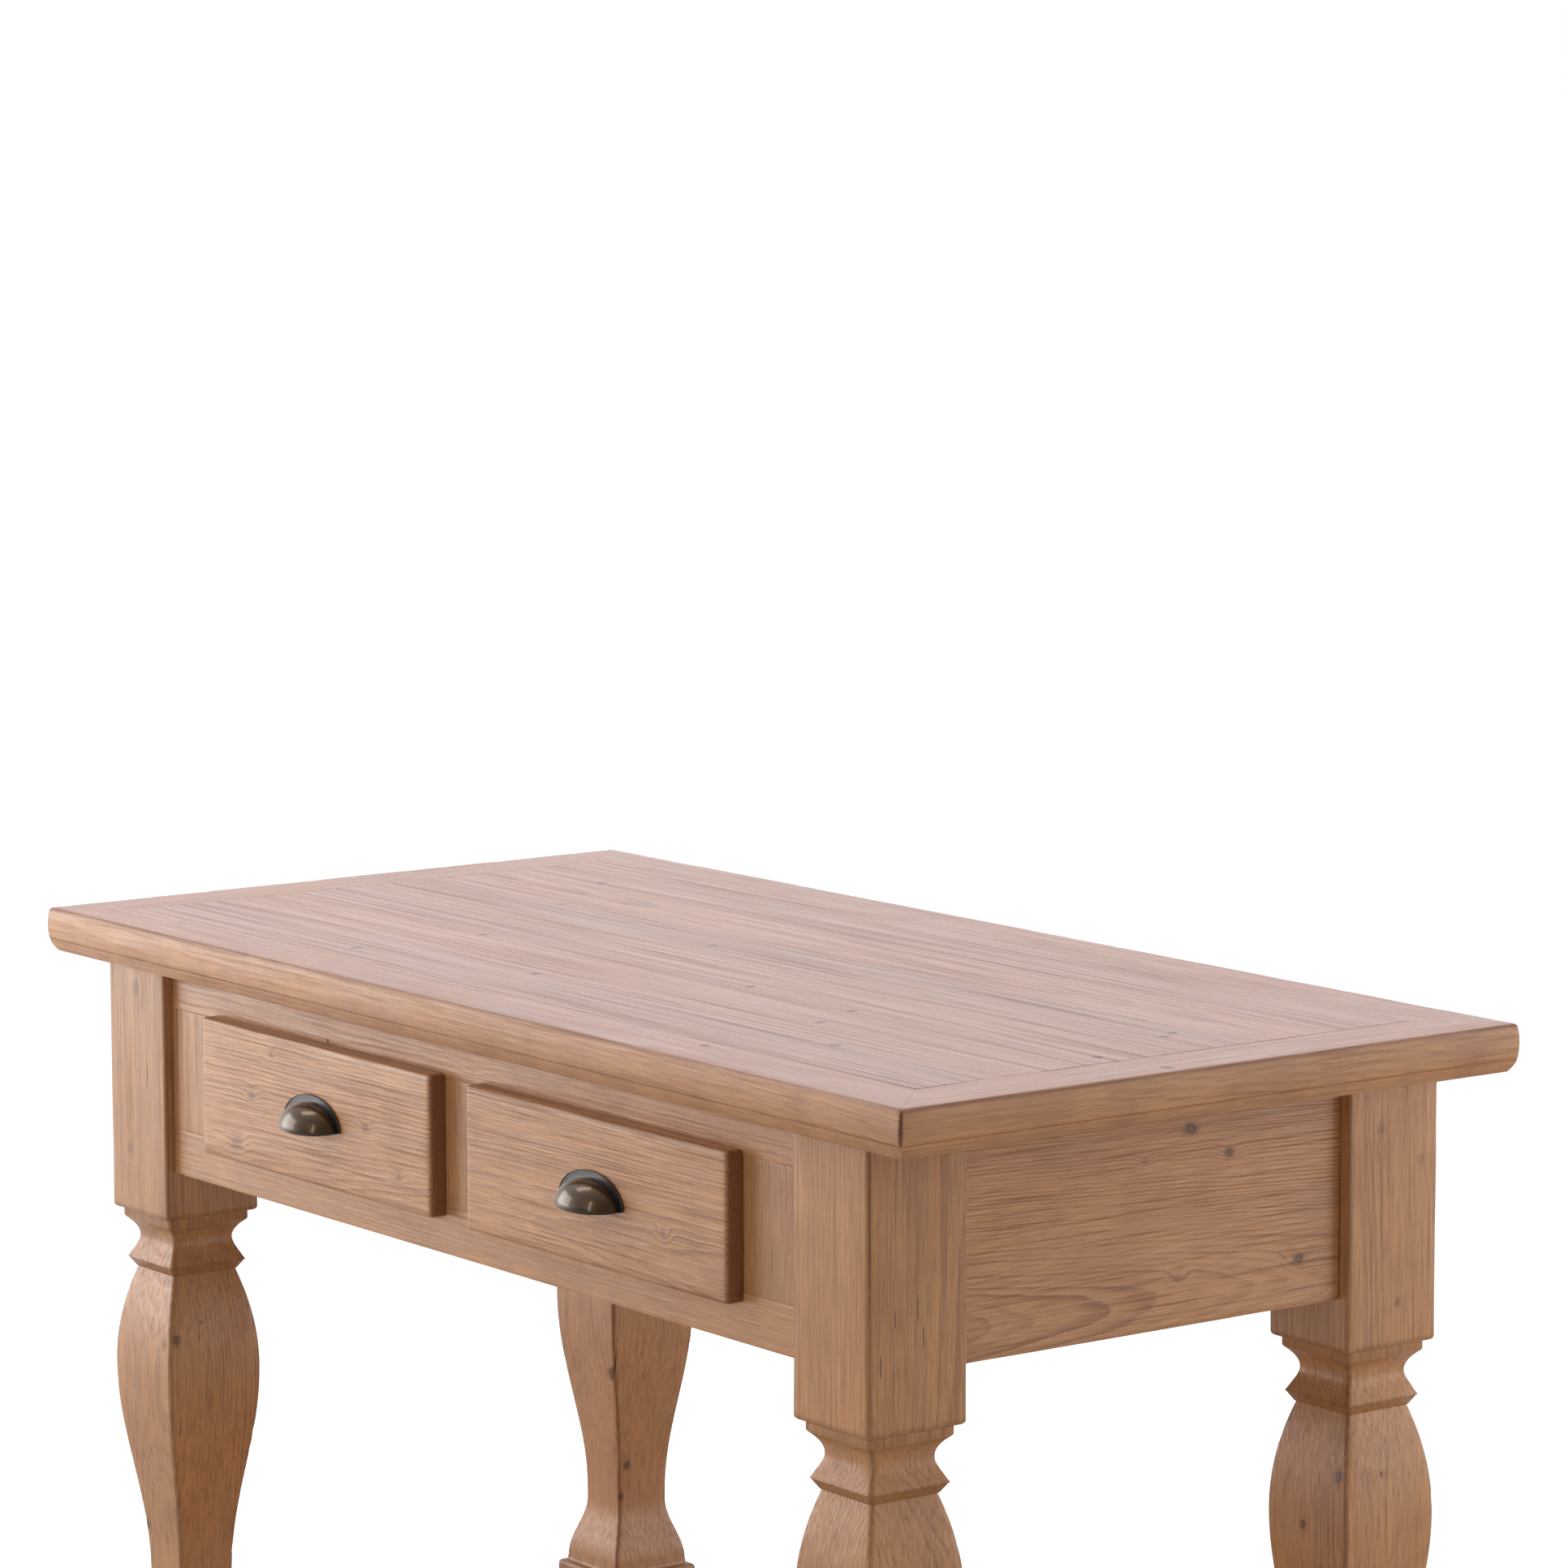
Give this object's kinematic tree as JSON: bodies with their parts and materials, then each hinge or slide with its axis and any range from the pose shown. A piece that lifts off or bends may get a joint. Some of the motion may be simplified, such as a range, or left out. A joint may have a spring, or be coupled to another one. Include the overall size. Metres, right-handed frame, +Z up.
{
  "type": "kitchen island",
  "caption": "Free-standing kitchen island in reclaimed pine: mitred plank worktop, square baluster legs, sliding drawers with cup pulls and a lower plank shelf.",
  "frame": {"origin": "on the floor, under the middle of the worktop", "axes": "+X along the long side, to the right when facing the drawers; the drawer fronts face -Y; +Z up"},
  "size_m": [1.4226, 0.7113, 0.9],
  "materials": {
    "worktop_pine": "brushed, limed, matt",
    "frame_pine": "brushed, limed, matt",
    "drawer_box_pine": "raw, planed",
    "antique_brass": "darkened, worn bright on the dome",
    "steel": "zinc plated",
    "glide_plastic": "matt"
  },
  "bodies": {
    "island": {"worktop_border_front": "worktop_pine", "worktop_border_back": "worktop_pine", "worktop_border_left": "worktop_pine", "worktop_border_right": "worktop_pine", "worktop_plank_1": "worktop_pine", "worktop_plank_2": "worktop_pine", "worktop_plank_3": "worktop_pine", "worktop_plank_4": "worktop_pine", "worktop_plank_5": "worktop_pine", "worktop_plank_6": "worktop_pine", "leg_front_left": "frame_pine", "leg_front_right": "frame_pine", "leg_back_left": "frame_pine", "leg_back_right": "frame_pine", "glide_front_left": "glide_plastic", "glide_front_right": "glide_plastic", "glide_back_left": "glide_plastic", "glide_back_right": "glide_plastic", "front_top_rail": "frame_pine", "front_bottom_rail": "frame_pine", "front_stile_left": "frame_pine", "front_mullion": "frame_pine", "front_stile_right": "frame_pine", "back_apron": "frame_pine", "end_apron_left": "frame_pine", "end_apron_right": "frame_pine", "stretcher_front": "frame_pine", "stretcher_back": "frame_pine", "stretcher_left": "frame_pine", "stretcher_right": "frame_pine", "shelf_bearer": "frame_pine", "shelf_plank_1": "frame_pine", "shelf_plank_2": "frame_pine", "shelf_plank_3": "frame_pine", "shelf_plank_4": "frame_pine", "shelf_plank_5": "frame_pine", "runner_left": "drawer_box_pine", "runner_centre": "drawer_box_pine", "runner_right": "drawer_box_pine", "kicker_left": "drawer_box_pine", "kicker_centre": "drawer_box_pine", "kicker_right": "drawer_box_pine"},
    "drawer_left": {"drawer_left_front": "frame_pine", "drawer_left_side_left": "drawer_box_pine", "drawer_left_side_right": "drawer_box_pine", "drawer_left_back": "drawer_box_pine", "drawer_left_bottom": "drawer_box_pine", "pull_left": "antique_brass", "pull_left_screw_left": "steel", "pull_left_screw_right": "steel"},
    "drawer_right": {"drawer_right_front": "frame_pine", "drawer_right_side_left": "drawer_box_pine", "drawer_right_side_right": "drawer_box_pine", "drawer_right_back": "drawer_box_pine", "drawer_right_bottom": "drawer_box_pine", "pull_right": "antique_brass", "pull_right_screw_left": "steel", "pull_right_screw_right": "steel"}
  },
  "joints": [
    {"name": "drawer_left_slide", "type": "slide", "parent": "island", "child": "drawer_left", "axis": [0, -1, 0], "range_m": [0, 0.34]},
    {"name": "drawer_right_slide", "type": "slide", "parent": "island", "child": "drawer_right", "axis": [0, -1, 0], "range_m": [0, 0.34]}
  ]
}
